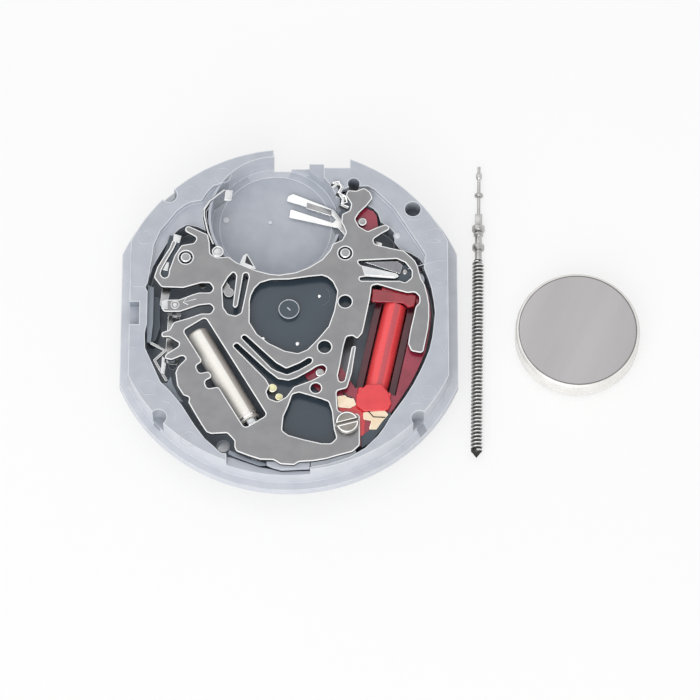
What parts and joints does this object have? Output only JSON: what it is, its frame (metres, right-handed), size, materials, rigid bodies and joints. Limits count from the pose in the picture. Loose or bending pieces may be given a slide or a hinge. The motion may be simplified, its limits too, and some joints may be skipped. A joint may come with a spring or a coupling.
{
  "type": "quartz watch movement",
  "caption": "Round quartz watch movement seen from its back, with a battery well, motor coil, crystal and calendar, and with its setting stem and button cell loose beside it.",
  "frame": {"origin": "on the axis of the hands, in the plane that the dial rests on", "axes": "+Z to the back of the watch, +Y to 12 o'clock, the stem's hole at -X"},
  "size_m": [0.0395, 0.0277, 0.0052],
  "materials": {
    "pale_plastic": "satin moulded",
    "dark_plastic": "satin moulded",
    "plate_steel": "stamped, fine blasted",
    "bright_steel": "polished edges",
    "brass": "pale gilt",
    "board_red": "lacquered board",
    "coil_red": "red lacquer",
    "bobbin_maroon": "moulded",
    "black_resin": "glob",
    "silver_can": "drawn, bright",
    "soft_iron": "plain",
    "magnet_grey": "sintered",
    "cell_steel": "satin nickel",
    "gasket_plastic": "moulded",
    "white_plastic": "moulded"
  },
  "bodies": {
    "movement": {"main_plate": "pale_plastic", "cover_plate": "plate_steel", "cover_screw": "bright_steel", "plate_pins": "bright_steel", "contact_pins": "brass", "train_bridge": "dark_plastic", "stem_guide": "dark_plastic", "stator": "soft_iron", "coil_winding": "coil_red", "coil_core": "soft_iron", "coil_bobbin": "bobbin_maroon", "coil_end_caps": "coil_red", "circuit_board": "board_red", "chip": "black_resin", "board_contacts": "brass", "crystal_can": "silver_can", "crystal_base": "silver_can", "crystal_leads": "brass", "plus_terminal": "bright_steel", "minus_terminal": "bright_steel", "hook_contact": "bright_steel", "lever_spring": "bright_steel", "date_guard": "plate_steel", "guard_screws": "bright_steel", "date_posts": "bright_steel"},
    "seconds": {"seconds_arbor": "bright_steel", "seconds_wheel": "brass"},
    "fifth": {"fifth_pinion": "bright_steel", "fifth_wheel": "white_plastic"},
    "rotor": {"rotor_pinion": "bright_steel", "rotor_magnet": "magnet_grey"},
    "third": {"third_pinion": "bright_steel", "third_wheel": "white_plastic"},
    "center": {"center_wheel": "brass"},
    "cannon": {"cannon_pinion": "brass"},
    "minute": {"minute_wheel": "brass", "minute_pinion": "brass"},
    "hour": {"hour_wheel": "brass"},
    "setting": {"setting_wheel": "bright_steel"},
    "transfer": {"date_transfer_wheel": "white_plastic"},
    "driver": {"date_driver": "white_plastic", "date_finger": "white_plastic"},
    "date": {"date_ring": "white_plastic"},
    "jumper": {"date_jumper": "bright_steel"},
    "setting_arm": {"setting_lever": "bright_steel"},
    "yoke_arm": {"yoke": "bright_steel"},
    "slider": {"sliding_pinion": "bright_steel"},
    "reset_arm": {"reset_lever": "bright_steel"},
    "loose_stem": {"stem": "bright_steel"},
    "loose_cell": {"cell_can": "cell_steel", "cell_gasket": "gasket_plastic", "cell_cap": "cell_steel"}
  },
  "joints": [
    {"name": "seconds_turn", "type": "hinge", "parent": "movement", "child": "seconds", "pos_m": [0, 0, 0.0016], "axis": [0, 0, 1], "continuous": true},
    {"name": "fifth_turn", "type": "hinge", "parent": "movement", "child": "fifth", "pos_m": [0.0023, 0.0013, 0.0016], "axis": [0, 0, 1], "continuous": true},
    {"name": "rotor_turn", "type": "hinge", "parent": "movement", "child": "rotor", "pos_m": [0.00425, 0.00047, 0.0016], "axis": [0, 0, 1], "continuous": true},
    {"name": "third_turn", "type": "hinge", "parent": "movement", "child": "third", "pos_m": [0.00065, -0.0025, 0.0016], "axis": [0, 0, 1], "continuous": true},
    {"name": "center_turn", "type": "hinge", "parent": "movement", "child": "center", "pos_m": [0, 0, 0.001], "axis": [0, 0, 1], "continuous": true},
    {"name": "hour_turn", "type": "hinge", "parent": "movement", "child": "hour", "pos_m": [0, 0, 0.0002], "axis": [0, 0, 1], "continuous": true},
    {"name": "cannon_turn", "type": "hinge", "parent": "movement", "child": "cannon", "pos_m": [0, 0, 0.0004], "axis": [0, 0, 1], "continuous": true},
    {"name": "minute_turn", "type": "hinge", "parent": "movement", "child": "minute", "pos_m": [-0.0024, 0, 0.0004], "axis": [0, 0, 1], "continuous": true},
    {"name": "setting_turn", "type": "hinge", "parent": "movement", "child": "setting", "pos_m": [-0.0049, 0, 0.0004], "axis": [0, 0, 1], "continuous": true},
    {"name": "transfer_turn", "type": "hinge", "parent": "movement", "child": "transfer", "pos_m": [0.00174, -0.00342, 0], "axis": [0, 0, 1], "continuous": true},
    {"name": "driver_turn", "type": "hinge", "parent": "movement", "child": "driver", "pos_m": [0.0027, -0.00529, 0], "axis": [0, 0, 1], "continuous": true},
    {"name": "date_turn", "type": "hinge", "parent": "movement", "child": "date", "pos_m": [0, 0, 0.0003], "axis": [0, 0, 1], "continuous": true},
    {"name": "jumper_flex", "type": "hinge", "parent": "movement", "child": "jumper", "pos_m": [0.0044, 0.0065, 0.0003], "axis": [0, 0, 1], "range_deg": [-5, 0]},
    {"name": "setting_arm_turn", "type": "hinge", "parent": "movement", "child": "setting_arm", "pos_m": [-0.00785, 0.00413, 0.0024], "axis": [0, 0, 1], "range_deg": [-6, 6]},
    {"name": "yoke_turn", "type": "hinge", "parent": "movement", "child": "yoke_arm", "pos_m": [-0.0088, -0.0038, 0.002], "axis": [0, 0, 1], "range_deg": [-5, 5]},
    {"name": "reset_turn", "type": "hinge", "parent": "movement", "child": "reset_arm", "pos_m": [-0.0065, 0.0036, 0.0027], "axis": [0, 0, 1], "range_deg": [-5, 5]},
    {"name": "slider_slide", "type": "slide", "parent": "movement", "child": "slider", "axis": [1, 0, 0], "range_m": [-0.0003, 0.0003]},
    {"name": "stem_lift", "type": "slide", "parent": "movement", "child": "loose_stem", "axis": [0, 0, 1], "range_m": [0, 0.004]},
    {"name": "cell_lift", "type": "slide", "parent": "movement", "child": "loose_cell", "axis": [0, 0, 1], "range_m": [0, 0.004]}
  ],
  "couplings": [
    {"joint": "fifth_turn", "follows": "seconds_turn", "ratio": -3},
    {"joint": "rotor_turn", "follows": "seconds_turn", "ratio": 30},
    {"joint": "third_turn", "follows": "seconds_turn", "ratio": -0.13333},
    {"joint": "center_turn", "follows": "seconds_turn", "ratio": 0.016667},
    {"joint": "cannon_turn", "follows": "hour_turn", "ratio": 12},
    {"joint": "minute_turn", "follows": "hour_turn", "ratio": -4},
    {"joint": "setting_turn", "follows": "hour_turn", "ratio": 10.286},
    {"joint": "transfer_turn", "follows": "hour_turn", "ratio": -1},
    {"joint": "driver_turn", "follows": "hour_turn", "ratio": 0.5},
    {"joint": "setting_arm_turn", "follows": "slider_slide", "rad_per_m": 349.06},
    {"joint": "yoke_turn", "follows": "slider_slide", "rad_per_m": -290.88},
    {"joint": "reset_turn", "follows": "slider_slide", "rad_per_m": 290.88}
  ]
}
